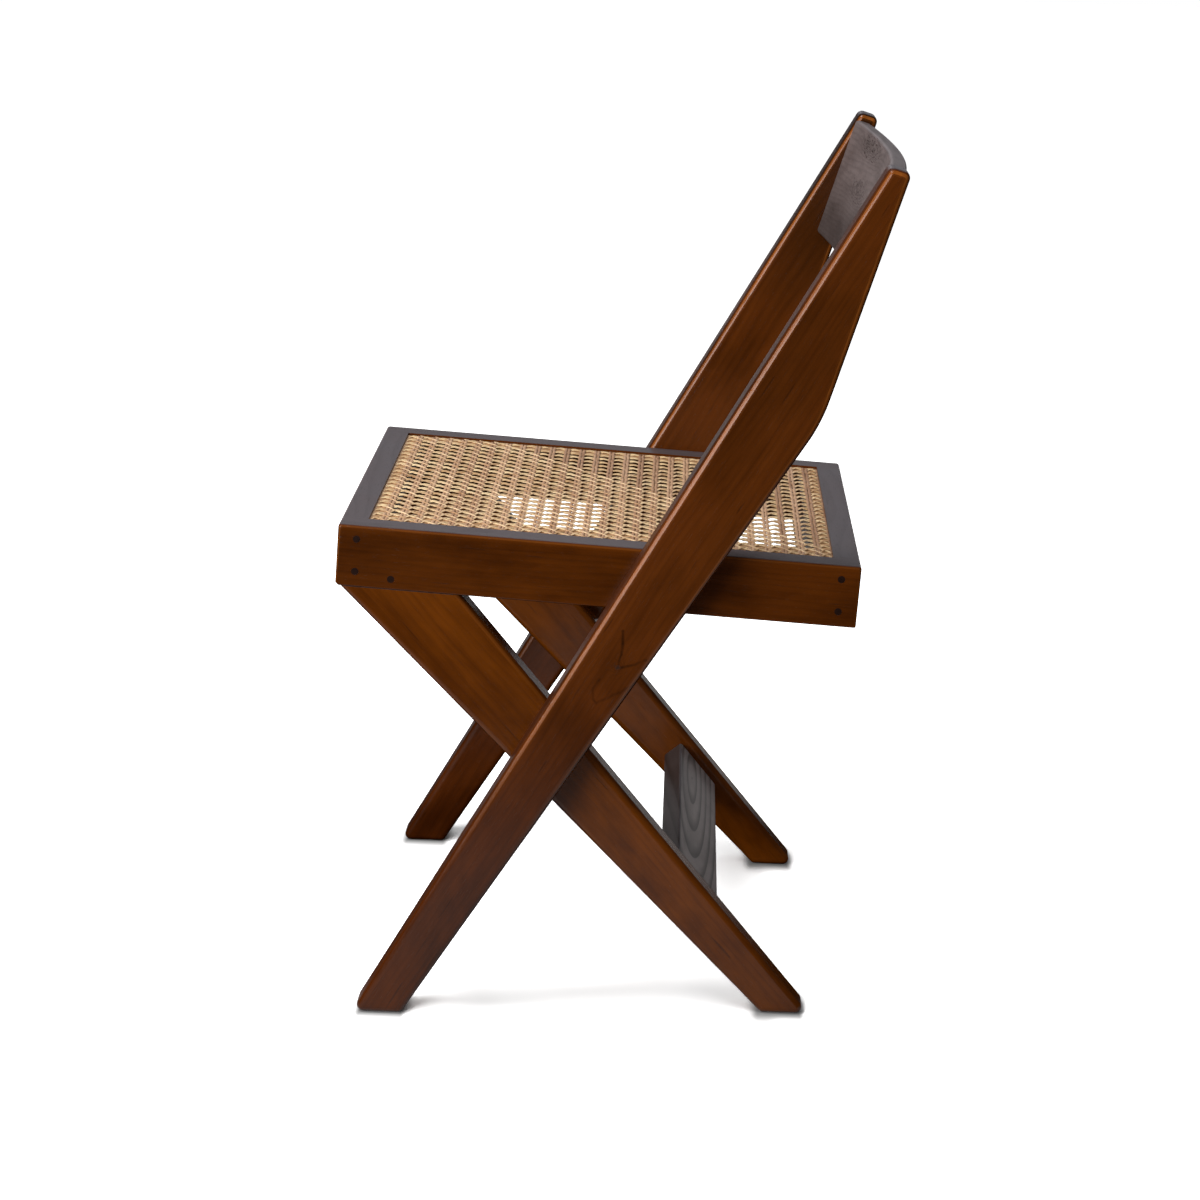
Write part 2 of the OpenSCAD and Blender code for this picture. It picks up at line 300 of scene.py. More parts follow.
class Grain(Enum):
    """The turn, in degrees, that lays a piece's grain along the z axis of its pattern."""

    LONG_LEG = (30.5, 0.0, 0.0)
    SHORT_LEG = (-42.0, 0.0, 0.0)
    ALONG_SEAT = (92.75, 0.0, 0.0)
    ACROSS_SEAT = (2.75, -90.0, 0.0)
    ACROSS_BACK = (16.6, -90.0, 0.0)
    ACROSS_LEGS = (-39.6, -90.0, 0.0)


@dataclass(frozen=True)
class Layer:
    """One layer of the wood's pattern.

    Attributes:
        across: How fine it is across the grain.
        along: How fine it is along the grain.
        detail: How many finer layers are added.
        stir: How far it is stirred.
        weight: How strongly it lightens and darkens the stain.
    """

    across: float
    along: float
    detail: float
    stir: float = 0.0
    weight: float = 0.0

    def noise(self, g: Graph, axes: Sequence[Sock]) -> Sock:
        """Finds the layer's value.

        Args:
            g: The material's graph.
            axes: The three parts of the place, the last one along the grain.

        Returns:
            The value, from 0 to 1.
        """
        across, deep, along = axes
        stretched = g.join(across * self.across, deep * self.across, along * self.along)
        return g.noise(stretched, 1.0, self.detail, self.stir)


FIBRE = Layer(620.0, 26.0, 3.0, 0.3, 0.3)
STREAK = Layer(130.0, 6.0, 3.0, 0.5, 0.28)
BAND = Layer(42.0, 2.6, 2.0, 0.7, 0.4)
CLOUD = Layer(15.0, 7.0, 3.0, 0.6, 1.5)
MOTTLE = Layer(70.0, 34.0, 3.0, 0.4, 0.5)
PORE = Layer(1500.0, 110.0, 2.0)
CRACK = Layer(420.0, 20.0, 1.0)
# The two that bend the growth rings, with the bend in metres as their weight
WAVE = Layer(7.0, 1.6, 2.0, 0.0, 0.06)
RIPPLE = Layer(30.1, 6.88, 3.0, 0.0, 0.01)

# How far a face looks along an axis where a mask sets in, and where it is full
# Facings of the rubbed line on the arrises, which is partly a painted highlight
RUB_AND_HIGHLIGHT_STARTS = (0.55, 0.78)
RUB_AND_HIGHLIGHT_ENDS = (0.93, 1.02)
RUB_AND_HIGHLIGHT_UNDER = (-0.5, 0.0)
RUB_AND_HIGHLIGHT_OVER = (0.5, 0.8)
PAINTED_SHADE_UNDER = (0.3, 0.8)
LIES_FLAT = (0.75, 0.99)
LEVEL = (0.9, 0.99)
LOOKS_FORWARD = (0.75, 0.86)
# The turn of a face away from the nearest axis of the grain, which tells an arris
ARRIS_TURN = (0.005, 0.1)
# The heights over the floor between which the rubbed line, with its painted highlight, sets in
RUB_AND_HIGHLIGHT_HEIGHT = (0.12, 0.4)
# The values of the noise between which pores, cracks and the gaps in the rubbed and highlighted line show
PORES = (0.62, 0.72)
CRACKS = (0.72, 0.76)
RUB_AND_HIGHLIGHT_GAPS = (0.3, 0.75)
# The lightness between which the stain goes from its shade to its tone, and the most that a mark covers it
STAIN = (0.05, 0.95)
DARKEST = 0.85


@dataclass(frozen=True)
class Knot:
    """A knot in the wood.

    Attributes:
        place: The knot's middle, in the row frame.
        reach: How far the rings bend round it.
        dark: How dark its heart is, from 0 to 1.
        stretch: How many times longer it is along x.
        speckle: How strongly it is ringed with dark dots, from 0 to 1.
    """

    place: Place
    reach: float
    dark: float = 0.6
    stretch: float = 1.0
    speckle: float = 0.0


@dataclass(frozen=True)
class Streak:
    """A dark line in the wood.

    Attributes:
        points: The points that it runs through, in the row frame.
        width: How far its darkness reaches to each side.
        dark: Its darkness, from 0 to 1.
    """

    points: tuple[Place, ...]
    width: float = 0.0023
    dark: float = 0.95

    def mark(self, g: Graph, place: Sock) -> Sock:
        """Finds the line's darkness.

        Args:
            g: The material's graph.
            place: The point in the row frame.

        Returns:
            The darkness, from 0 to 1.
        """
        nearest: Sock | float = 1.0
        for start, end in zip(self.points, self.points[1:]):
            nearest = g.to_line(place, start, end).math("MINIMUM", nearest)
        return (1.0 - nearest.ramp(0.0, self.width)) * self.dark


@dataclass(frozen=True)
class WoodFinish:
    """Stained and lacquered wood.

    Attributes:
        grain: The direction of the grain.
        shade: The darker colour of the stain.
        tone: The lighter colour of the stain.
        edge: The colour of the rubbed arrises, lighter wear together with a painted highlight.
        heart: The place of the tree's heart in the grain's own axes, across the grain, in metres.
        lean: How far the heart moves over a length of the grain, which draws the rings out to arches.
        ring: The width of a growth ring.
        ring_depth: How strongly the rings show, from 0 to 1.
        shift: The offset that gives each piece its own pattern.
        waver: How strongly the rings waver, from 0 to 1.
        knots: The knots in the piece.
        streaks: The dark lines in the piece.
        roughness: The lacquer's roughness.
        gloss: The strength of the lacquer's mirroring, from 0 to 1.
        vein: The colour of pores, cracks, ring lines and knots, also used for painted shade.
        painted_top_sheen: The colour of the faces that look up, a painted grey sheen.
        painted_top_light: The depths, below the seat plane, between which the stain colour grows lighter
            towards the top, a painted light from above.
        painted_shade: The places between which the colour grows darker, a painted shade.
        painted_shade_depth: How dark that painted shade gets, from 0 to 1.
    """

    grain: Grain
    shade: Colour = linear(47, 17, 0)
    tone: Colour = linear(80, 36, 1)
    edge: Colour = linear(104, 54, 12)
    heart: Span = (0.16, 0.05)
    lean: float = 0.02
    ring: float = 0.006
    ring_depth: float = 0.12
    shift: float = 0.0
    waver: float = 1.0
    knots: tuple[Knot, ...] = ()
    streaks: tuple[Streak, ...] = ()
    roughness: float = 0.21
    gloss: float = 0.28
    vein: Colour = linear(20, 7, 1)
    painted_top_sheen: Colour = linear(88, 83, 86)
    painted_top_light: Span | None = None
    painted_shade: tuple[Place, Place] | None = None
    painted_shade_depth: float = 0.5

    def _rings(
        self, g: Graph, place: Sock, axes: Sequence[Sock],
    ) -> tuple[Sock, Sock | float, Sock | float]:
        """Finds the growth rings and the knots.

        Args:
            g: The material's graph.
            place: The point in the row frame.
            axes: The point's three parts in the grain's own axes.

        Returns:
            The late wood's dark line, the darkness of the knots and the nearness of one, from 0 to 1.
        """
        across, deep, along = axes
        bend = (WAVE.noise(g, axes) - 0.5) * (WAVE.weight * self.waver)
        bend = bend + (RIPPLE.noise(g, axes) - 0.5) * (RIPPLE.weight * self.waver)
        side = (across - self.heart[0]).math("POWER", 2.0)
        depth = (deep - self.heart[1] - (along - self.shift) * self.lean).math("POWER", 2.0)
        far = (side + depth).math("SQRT") + bend
        dark: Sock | float = 0.0
        close: Sock | float = 0.0
        for knot in self.knots:
            squeeze = (1.0 / knot.stretch, 1.0, 1.0)
            gap = g.vector("LENGTH", g.vector("MULTIPLY", g.vector("SUBTRACT", place, knot.place), squeeze))
            ragged = gap + (g.noise(place, 110.0, 2.0) - 0.5) * (knot.reach * 0.7)
            near = ((ragged / knot.reach).math("POWER", 2.0) * -1.0).math("EXPONENT")
            far = far + near * (self.ring * 3.5)
            dark = near.math("POWER", 7.0) * knot.dark + dark
            if knot.speckle:
                hoop = (ragged / (knot.reach * 0.34)).math("FRACT").ramp(0.35, 0.8)
                dots = g.noise(g.vector("MULTIPLY", place, squeeze), 900.0, 1.0).ramp(0.5, 0.62)
                dark = near.ramp(0.12, 0.5) * hoop * dots * knot.speckle + dark
            close = near + close
        phase = (far / self.ring).math("FRACT")
        line = phase.ramp(0.4, 0.93) * (1.0 - phase.ramp(0.95, 1.0))
        return line, dark, close

    def material(self, name: str) -> bpy.types.Material:
        """Builds the material.

        Args:
            name: The material's name.

        Returns:
            The material, ready to assign.
        """
        made, g, place = new_material(name)
        turn = tuple(math.radians(a) for a in self.grain.value)
        local = g.node(
            "ShaderNodeMapping", {"vector_type": "POINT"},
            {"Vector": place, "Rotation": turn, "Location": (0.0, 0.0, self.shift)},
        )
        axes = g.split(local)
        line, knot_dark, close = self._rings(g, place, axes)
        layers = (FIBRE, STREAK, BAND, CLOUD, MOTTLE)
        noises = [layer.noise(g, axes) for layer in layers]
        fibre, streak, _, cloud, _ = noises
        pore = PORE.noise(g, axes).ramp(*PORES)
        crack = CRACK.noise(g, axes).ramp(*CRACKS)
        light: Sock | float = 0.5
        for layer, noise in zip(layers, noises):
            light = (noise - 0.5) * layer.weight + light
        # Painted light from above makes the colour lighter towards the top
        if self.painted_top_light:
            light = light + (1.0 - axes[1].ramp(*self.painted_top_light)) * 0.4
        colour = g.blend(light.ramp(*STAIN), self.shade, self.tone)
        # A painted shade darkens the colour between the two places
        if self.painted_shade:
            colour = g.blend(g.share(place, *self.painted_shade).ramp(0.0, 1.0) * self.painted_shade_depth, colour, self.vein)
        normal = g.node("ShaderNodeTexCoord", output="Normal")
        sideways, facing, upward = g.split(normal)
        # The rubbed line along the arrises, lighter wear together with a painted highlight, broken up by
        # the streaks, weaker over and under the piece and fading out towards the floor
        outward = sideways.math("ABSOLUTE")
        rub_and_highlight = outward.ramp(*RUB_AND_HIGHLIGHT_STARTS) * (1.0 - outward.ramp(*RUB_AND_HIGHLIGHT_ENDS))
        rub_and_highlight = rub_and_highlight * (0.65 + streak.ramp(*RUB_AND_HIGHLIGHT_GAPS) * 0.35)
        rub_and_highlight = rub_and_highlight * upward.ramp(*RUB_AND_HIGHLIGHT_UNDER) * (1.0 - upward.ramp(*RUB_AND_HIGHLIGHT_OVER) * 0.7)
        rub_and_highlight = rub_and_highlight * g.split(place)[2].ramp(*RUB_AND_HIGHLIGHT_HEIGHT)
        colour = g.blend(rub_and_highlight, colour, self.edge)
        # The arrises that look down get a painted shade, and the faces that look up a painted grey sheen
        turned = g.node(
            "ShaderNodeMapping", {"vector_type": "VECTOR"}, {"Vector": normal, "Rotation": turn})
        sides = [part.math("ABSOLUTE") for part in g.split(turned)]
        flat = sides[0].math("MAXIMUM", sides[1]).math("MAXIMUM", sides[2])
        arris = (1.0 - flat).ramp(*ARRIS_TURN)
        colour = g.blend(arris * (0.0 - upward).ramp(*PAINTED_SHADE_UNDER) * 0.6, colour, self.vein)
        colour = g.blend(upward.ramp(*LIES_FLAT) * 0.85, colour, self.painted_top_sheen)
        # Pores, cracks, late wood, knots and drawn streaks, of which the darkest counts
        vein = line * (close * 0.5 + self.ring_depth)
        marks = (pore * 0.2 + crack * 0.4).math("MAXIMUM", vein).math("MAXIMUM", knot_dark)
        swirls = g.node(
            "ShaderNodeTexNoise", inputs={"Vector": place, "Scale": 160.0, "Detail": 2.0}, output=1)
        stirred = g.vector("ADD", place, g.vector("SCALE", swirls, scale=2.0 * MM))
        for drawn in self.streaks:
            marks = marks.math("MAXIMUM", drawn.mark(g, stirred))
        colour = g.blend(marks.math("MINIMUM", DARKEST), colour, self.vein)
        rough = self.roughness + (cloud - 0.5) * 0.1 + pore * 0.08 + knot_dark * 0.5
        rough = rough + upward.ramp(*LEVEL) * 0.2 + (0.0 - facing).ramp(*LOOKS_FORWARD) * 0.2
        height = fibre * 0.35 - pore * 0.6 - crack * 1.2 - line * 0.3
        g.coat(colour, rough, height, 0.25, self.gloss)
        return made


@dataclass(frozen=True)
class PegFinish:
    """The dark end grain of a peg.

    Attributes:
        deep: The colour of the pores.
        pale: The colour between them.
        pores: How fine the pores are.
        clouds: How fine the clouds in the stain are.
    """

    deep: Colour = linear(14, 5, 2)
    pale: Colour = linear(32, 13, 7)
    pores: float = 1400.0
    clouds: float = 260.0

    def material(self, name: str) -> bpy.types.Material:
        """Builds the material.

        Args:
            name: The material's name.

        Returns:
            The material, ready to assign.
        """
        made, g, place = new_material(name)
        cells = g.node("ShaderNodeTexVoronoi", {"feature": "F1"}, {"Vector": place, "Scale": self.pores})
        cloud = g.noise(place, self.clouds, 3.0)
        light = cells.ramp(0.1, 0.6) * 0.4 + cloud * 0.7
        colour = g.blend(light.ramp(0.2, 0.9), self.deep, self.pale)
        g.coat(colour, 0.45 + cloud * 0.2, cells, 0.4, 0.1)
        return made


@dataclass(frozen=True)
class CaneFinish:
    """Natural cane, streaked along the strand.

    Attributes:
        stretch: How many times finer the streaks are along x, y and z.
        turn: The turn about z that lays the streaks along the strand, in degrees.
        pale: The colour of the shiny skin.
        warm: The colour of the warmer strands.
        stain: The colour of the darker flecks.
        depth: The colour of the painted shade on the sunken sides of the strands.
        painted_shade_heights: The heights, square to the seat, between which that colour fades out.
        patches: How fine the patches across the whole seat are.
    """

    stretch: tuple[float, float, float]
    turn: float = 0.0
    pale: Colour = linear(232, 202, 162)
    warm: Colour = linear(176, 134, 96)
    stain: Colour = linear(120, 74, 42)
    depth: Colour = linear(40, 18, 6)
    painted_shade_heights: Span = (0.4342, 0.436)
    patches: float = 55.0

    def material(self, name: str) -> bpy.types.Material:
        """Builds the material.

        Args:
            name: The material's name.

        Returns:
            The material, ready to assign.
        """
        made, g, place = new_material(name)
        local = g.node(
            "ShaderNodeMapping", {"vector_type": "POINT"},
            {"Vector": place, "Rotation": (0.0, 0.0, math.radians(self.turn)), "Scale": self.stretch},
        )
        fibre = g.noise(local, 1.0, 3.0, 0.2)
        fleck = g.noise(local, 0.31, 2.0, 0.6).ramp(0.56, 0.7)
        patch = g.noise(place, self.patches, 3.0, 0.4)
        strand = g.node("ShaderNodeAttribute", {"attribute_name": "strand_tone"}, output="Fac")
        light = fibre * 0.5 + patch * 0.5 + strand * 0.35
        colour = g.blend(light.ramp(0.35, 1.0), self.warm, self.pale)
        colour = g.blend(fleck * 0.5, colour, self.stain)
        # Painted shade darkens the strands the lower they lie
        _, y, z = g.split(place)
        height = y * math.sin(SEAT_TILT) + z * math.cos(SEAT_TILT)
        colour = g.blend((1.0 - height.ramp(*self.painted_shade_heights)) * 0.9, colour, self.depth)
        g.coat(colour, 0.42 + fibre * 0.2, fibre, 0.35, 0.3)
        return made


class Run(Enum):
    """The directions in which the strands of the weave run."""

    LENGTHWISE = "lengthwise"
    CROSSWISE = "crosswise"
    RISING = "rising"
    FALLING = "falling"


@dataclass(frozen=True)
class Lay:
    """How the strands of one direction lie among the others.

    Attributes:
        rise: Their height over the weave's middle.
        hump: How far they rise between two pairs that they cross, or sink where it is below 0.
        swap: How far the strands of a pair rise and fall in turn, 0 for single strands.
        spread: How far a pair opens there, or closes where it is below 0.
        phase: The angle that the rise and fall starts from.
    """

    rise: float = 0.0
    hump: float = 0.0
    swap: float = 0.0
    spread: float = 0.0
    phase: float = 0.0


LAYS: dict[Run, Lay] = {
    Run.LENGTHWISE: Lay(hump=0.55 * MM, swap=0.35 * MM, spread=-0.2 * MM, phase=math.pi / 2),
    Run.CROSSWISE: Lay(rise=0.15 * MM, hump=-0.3 * MM, swap=0.175 * MM, spread=0.3 * MM),
    Run.RISING: Lay(rise=0.2 * MM, hump=-0.55 * MM),
    Run.FALLING: Lay(rise=0.25 * MM, hump=0.75 * MM),
}


@dataclass
class Weave:
    """The lattice of the woven seat, in the seat frame's axes, with y running back from the front end.

    Attributes:
        pitch_x: The distance between two gaps from side to side.
        pitch_y: The distance between two gaps from front to back.
        first_x: The first row of gaps, from the lip on the sitter's left.
        first_y: The first column of gaps, from the lip at the front.
        rows: The number of rows of gaps.
        columns: The number of columns of gaps.
        strand_w: The width of the straight strands.
        slant_w: The width of the slanting strands.
        strand_t: The thickness of a strand.
        pair_gap: The gap between the two strands of a pair, below 0 where they press together.
        middle: The height of the weave's middle over the top of the frame.
        sway: How far the strands stray sideways.
        sway_scale: How fine that straying is.
        wobble: How far they stray up and down.
        wobble_scale: How fine that straying is.
        dive: How far they sink into the frame at the rim.
        dive_run: The width of the rim in which they do.
        step: The length of one facet along a strand.
        sides: The number of sides of a strand.
        bands: The widths of the close band at the sitter's left and right, at the front and at the rear.
        band_top: The height of that band over the top of the frame.
        band_t: The thickness of that band.
    """

    pitch_x: float = 15.05 * MM
    pitch_y: float = 14.89 * MM
    first_x: float = 20.5 * MM
    first_y: float = 5.6 * MM
    rows: int = 22
    columns: int = 28
    strand_w: float = 3.2 * MM
    slant_w: float = 2.5 * MM
    strand_t: float = 1.1 * MM
    pair_gap: float = -0.1 * MM
    middle: float = -1.9 * MM
    sway: float = 0.8 * MM
    sway_scale: float = 60.0
    wobble: float = 0.5 * MM
    wobble_scale: float = 90.0
    dive: float = 0.9 * MM
    dive_run: float = 5.0 * MM
    step: float = 2.5 * MM
    sides: int = 6
    bands: tuple[float, ...] = (27.0 * MM, 24.0 * MM, 12.0 * MM, 10.0 * MM)
    band_top: float = -2.3 * MM
    band_t: float = 0.5 * MM


@dataclass
class CaneSeat:
    """The woven cane of the seat.

    Attributes:
        lip: The width of the frame's top that stays above the cane at the front.
        recess: The depth of the flat net's top below the frame's top.
        net_t: The thickness of the flat net.
        net_gap: The gap between the flat net and the wall of its rebate.
        weave: The lattice of the strands.
        streaks_across: How fine the cane's streaks are across a strand.
        streaks_along: How fine they are along it.
    """

    lip: float = 24.0 * MM
    recess: float = 1.0 * MM
    net_t: float = 2.5 * MM
    net_gap: float = 0.3 * MM
    weave: Weave = field(default_factory=Weave)
    streaks_across: float = 900.0
    streaks_along: float = 70.0

    def __post_init__(self) -> None:
        """Finds the seat frame's axes from the flat net of the model."""
        low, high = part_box("cane_panel")
        lean = SEAT_TILT
        inset = self.lip + self.net_gap
        top = high.z + inset * math.sin(lean) + self.recess * math.cos(lean)
        front = low.y - inset * math.cos(lean) + (self.recess + self.net_t) * math.sin(lean)
        self.axes = Matrix.Translation((0.0, front, top)) @ Matrix.Rotation(-lean, 4, "X")
        self.half_w = high.x
        self.front = inset
        self.back = inset + ((high.y - low.y) - self.net_t * math.sin(lean)) / math.cos(lean)

    def _laid_in(self, g: Graph, place: Sock, run: Run) -> Sock:
        """The place of a strand's middle once it is woven in with the others.

        Args:
            g: The geometry graph.
            place: The strand's straight and flat place in the seat's axes.
            run: The strand's direction.

        Returns:
            The woven place.
        """
        w = self.weave
        lay = LAYS[run]
        x, y, _ = g.split(place)
        turn = 2.0 * math.pi
        along_y = (y - (self.front - self.net_gap + w.first_y)) / w.pitch_y
        along_x = (x * -1.0 + (self.half_w + self.net_gap - w.first_x)) / w.pitch_x
        beside, ahead = (along_y, along_x) if run is Run.CROSSWISE else (along_x, along_y)
        wave = (ahead * turn).math("COSINE")
        height = wave * lay.hump + lay.rise
        sway = (g.noise(place, w.sway_scale, 2.0) - 0.5) * w.sway
        shift_x, shift_y = sway, sway
        if lay.swap:
            side = (beside * turn).math("SINE").math("SIGN")
            height = height + (ahead * math.pi + lay.phase).math("COSINE") * side * lay.swap
            spread = sway + side * wave * lay.spread
            shift_x, shift_y = (sway, spread) if run is Run.CROSSWISE else (spread, sway)
        edge_x = self.half_w - x.math("ABSOLUTE")
        edge_y = (y - self.front).math("MINIMUM", self.back - y)
        dive = (1.0 - edge_x.math("MINIMUM", edge_y).ramp(0.0, w.dive_run)) * w.dive
        wobble = (g.noise(place, w.wobble_scale, 2.0) - 0.5) * w.wobble
        flat_x = (x + shift_x).math("MINIMUM", self.half_w).math("MAXIMUM", -self.half_w)
        flat_y = (y + shift_y).math("MINIMUM", self.back).math("MAXIMUM", self.front)
        return g.join(flat_x, flat_y, height + wobble + (w.middle - dive))

    def _tree(self, run: Run, material: bpy.types.Material, seed: int) -> bpy.types.NodeTree:
        """Builds the Geometry Nodes tree of one direction of strands.

        Args:
            run: The direction.
            material: The strands' material.
            seed: The seed of the strands' tones.

        Returns:
            The tree, with its sizes as named inputs.
        """
        tree = bpy.data.node_groups.new(f"cane_{run.value}_strands", "GeometryNodeTree")
        tree.interface.new_socket("Geometry", in_out="OUTPUT", socket_type="NodeSocketGeometry")
        for name, kind in (
            ("Strands", "NodeSocketInt"), ("First", "NodeSocketVector"), ("Spacing", "NodeSocketVector"),
            ("Width", "NodeSocketFloat"), ("Thickness", "NodeSocketFloat"), ("Step", "NodeSocketFloat"),
        ):
            tree.interface.new_socket(name, in_out="INPUT", socket_type=kind)
        g = Graph(tree)
        enter = g.node("NodeGroupInput").link.node
        given = {s.name: Sock(g, s) for s in enter.outputs if s.name}
        lines = g.node("GeometryNodeMeshLine", {"mode": "OFFSET"}, {
            "Count": given["Strands"], "Start Location": given["First"], "Offset": given["Spacing"]})
        strand = g.node("GeometryNodeCurvePrimitiveLine", {"mode": "POINTS"}, {
            "Start": (0.0, 0.0, 0.0), "End": (0.0, 0.0, 1.0)})
        placed = g.node("GeometryNodeInstanceOnPoints", inputs={"Points": lines, "Instance": strand})
        laid = g.node("GeometryNodeRealizeInstances", inputs={0: placed})
        spot = g.node("GeometryNodeInputPosition")
        ends = g.node("GeometryNodeSetPosition", inputs={
            "Geometry": laid, "Position": self._end_point(g, spot, run)})
        tone = g.node("FunctionNodeRandomValue", {"data_type": "FLOAT"}, {
            "Min": 0.0, "Max": 1.0, "ID": g.node("GeometryNodeInputIndex"), "Seed": seed}, output=1)
        length = g.node("GeometryNodeSplineLength")
        stubs = g.node("FunctionNodeCompare", {"data_type": "FLOAT", "operation": "LESS_THAN"}, {
            0: length, 1: given["Step"]})
        whole_runs = g.node("GeometryNodeDeleteGeometry", {"domain": "CURVE"}, {
            "Geometry": ends, "Selection": stubs})
        toned = g.node("GeometryNodeStoreNamedAttribute", {"data_type": "FLOAT", "domain": "CURVE"}, {
            "Geometry": whole_runs, "Name": "strand_tone", "Value": tone})
        fine = g.node("GeometryNodeResampleCurve", {"mode": "LENGTH"}, {
            "Curve": toned, "Length": given["Step"]})
        here = g.node("GeometryNodeInputPosition")
        raised = g.node("GeometryNodeSetPosition", inputs={
            "Geometry": fine, "Position": self._laid_in(g, here, run)})
        level = g.node("GeometryNodeSetCurveNormal", {"mode": "Z_UP"}, {"Curve": raised})
        ring = g.node("GeometryNodeCurvePrimitiveCircle", {"mode": "RADIUS"}, {
            "Resolution": self.weave.sides, "Radius": 0.5})
        oval = g.node("GeometryNodeTransform", inputs={
            "Geometry": ring, "Scale": g.join(given["Width"], given["Thickness"], 1.0)})
        solid = g.node("GeometryNodeCurveToMesh", inputs={
            "Curve": level, "Profile Curve": oval, "Fill Caps": True})
        smooth = g.node("GeometryNodeSetShadeSmooth", inputs={"Geometry": solid})
        whole = g.node("GeometryNodeRealizeInstances", inputs={0: smooth})
        finished = g.node("GeometryNodeSetMaterial", inputs={"Geometry": whole, "Material": material})
        g.node("NodeGroupOutput", inputs={"Geometry": finished})
        return tree

    def _end_point(self, g: Graph, spot: Sock, run: Run) -> Sock:
        """Lays out both ends of the strands.

        Args:
            g: The geometry graph.
            spot: The point before it is laid out, with the strand's place in x and y. Its height is 0 at
                the strand's start and 1 at its finish.
            run: The strands' direction.

        Returns:
            The end's true place in the seat's axes.
        """
        x, y, far = g.split(spot)
        if run is Run.LENGTHWISE:
            return g.join(x, self.front + far * (self.back - self.front), 0.0)
        if run is Run.CROSSWISE:
            return g.join(far * (2.0 * self.half_w) - self.half_w, y, 0.0)
        way = 1.0 if run is Run.RISING else -1.0
        slope = self.weave.pitch_x / self.weave.pitch_y * way
        start_y, finish_y = (
            (y + (edge - x) / slope).math("MAXIMUM", self.front).math("MINIMUM", self.back)
            for edge in (-way * self.half_w, way * self.half_w))
        end_y = start_y + far * (finish_y - start_y)
        return g.join(x + (end_y - y) * slope, end_y, 0.0)

    def _strands(self, run: Run, finish: CaneFinish, seed: int) -> bpy.types.Object:
        """Makes all strands of one direction as one piece.

        Args:
            run: The direction.
            finish: The strands' finish.
            seed: The seed of their tones.

        Returns:
            The piece, a plain mesh in the row frame.
        """
        w = self.weave
        cell_y = self.front - self.net_gap + w.first_y
        cell_x = self.half_w + self.net_gap - w.first_x
        twin = w.strand_w + w.pair_gap
        families: list[tuple[int, Place, Place]] = []
        width = w.strand_w
        if run is Run.LENGTHWISE:
            for side in (-0.5, 0.5):
                first_x = cell_x + w.pitch_x / 2 + side * twin
                families.append((w.rows + 1, (first_x, 0.0, 0.0), (-w.pitch_x, 0.0, 0.0)))
        elif run is Run.CROSSWISE:
            for side in (-0.5, 0.5):
                first_y = cell_y - w.pitch_y / 2 + side * twin
                families.append((w.columns + 1, (0.0, first_y, 0.0), (0.0, w.pitch_y, 0.0)))
        else:
            first_y = cell_y - w.pitch_y / 2 - (w.rows if run is Run.RISING else 0) * w.pitch_y
            families.append((w.rows + w.columns + 1, (cell_x, first_y, 0.0), (0.0, w.pitch_y, 0.0)))
            width = w.slant_w
        meshes = []
        name = f"cane_{run.value}"
        tree = self._tree(run, finish.material(name), seed)
        for count, first, spacing in families:
            meshes.append(self._evaluate(tree, {
                "Strands": count, "First": first, "Spacing": spacing, "Width": width,
                "Thickness": w.strand_t, "Step": w.step}))
        joined = meshes[0].copy()
        joined.name = name
        whole = bmesh.new()
        for mesh in meshes:
            whole.from_mesh(mesh)
        whole.to_mesh(joined)
        whole.free()
        joined.transform(self.axes)
        return new_object(name, joined)

    @staticmethod
    def _evaluate(tree: bpy.types.NodeTree, values: Mapping[str, Any]) -> bpy.types.Mesh:
        """Runs a tree and returns its result as a plain mesh.

        Args:
            tree: The Geometry Nodes tree.
            values: A value for each named input.

        Returns:
            The mesh.
        """
        holder = new_object("loom", bpy.data.meshes.new("loom"))
        modifier = holder.modifiers.new("strands", "NODES")
        modifier.node_group = tree
        for item in tree.interface.items_tree:
            if item.in_out == "INPUT" and item.name in values:
                modifier[item.identifier] = values[item.name]
        graph = bpy.context.evaluated_depsgraph_get()
        mesh = bpy.data.meshes.new_from_object(holder.evaluated_get(graph), depsgraph=graph)
        bpy.data.objects.remove(holder)
        return mesh

    def _border(self, finish: CaneFinish) -> bpy.types.Object:
        """Makes the close band under the rim of the weave.

        Args:
            finish: The band's finish.

        Returns:
            The band, a flat ring in the row frame.
        """
        w = self.weave
        x, low, high = self.half_w, self.front, self.back
        on_left, on_right, at_front, at_rear = w.bands
        inner = (-x + on_right, x - on_left, low + at_front, high - at_rear)
        outer = (-x, x, low, high)
        mesh = bmesh.new()
        rims = []
        for left, right, near, back in (outer, inner):
            for z in (w.band_top, w.band_top - w.band_t):
                corners = ((left, near), (right, near), (right, back), (left, back))
                rims.append([mesh.verts.new((px, py, z)) for px, py in corners])
        top_out, low_out, top_in, low_in = rims
        for start, end in ((top_in, top_out), (top_out, low_out), (low_out, low_in), (low_in, top_in)):
            for n in range(4):
                m = (n + 1) % 4
                mesh.faces.new((start[n], end[n], end[m], start[m]))
        bmesh.ops.recalc_face_normals(mesh, faces=mesh.faces)
        data = bpy.data.meshes.new("cane_border")
        mesh.to_mesh(data)
        mesh.free()
        data.materials.append(finish.material("cane_border"))
        data.transform(self.axes)
        return new_object("cane_border", data)

